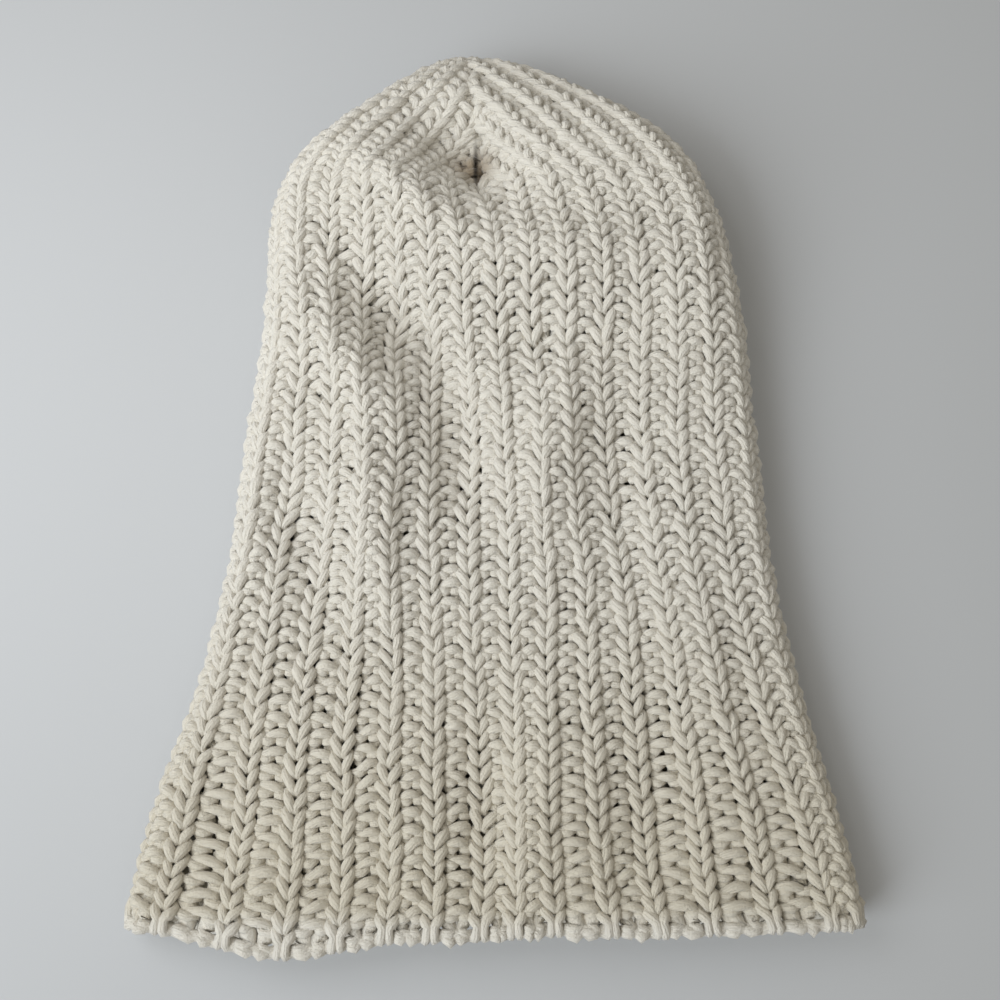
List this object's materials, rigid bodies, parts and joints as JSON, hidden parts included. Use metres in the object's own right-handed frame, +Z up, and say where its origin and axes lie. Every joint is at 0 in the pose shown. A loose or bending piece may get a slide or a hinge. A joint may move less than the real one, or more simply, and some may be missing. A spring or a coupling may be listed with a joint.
{
  "type": "knitted beanie",
  "caption": "Chunky ribbed knitted beanie lying flat at full length, open hem at one end and a softly dented, gathered crown at the other.",
  "frame": {"origin": "on the surface that the beanie lies on, under the middle of its box", "axes": "+Y from the open hem to the crown, +Z up from the surface to the top face, +X to the right in the picture's view"},
  "size_m": [0.2606, 0.3347, 0.0455],
  "materials": {
    "cream_yarn": "matte, plied, slightly fuzzy"
  },
  "bodies": {
    "root": {"cast_on_edge": "cream_yarn", "turn_up_band": "cream_yarn", "ribbed_body": "cream_yarn", "crown": "cream_yarn"}
  },
  "joints": []
}
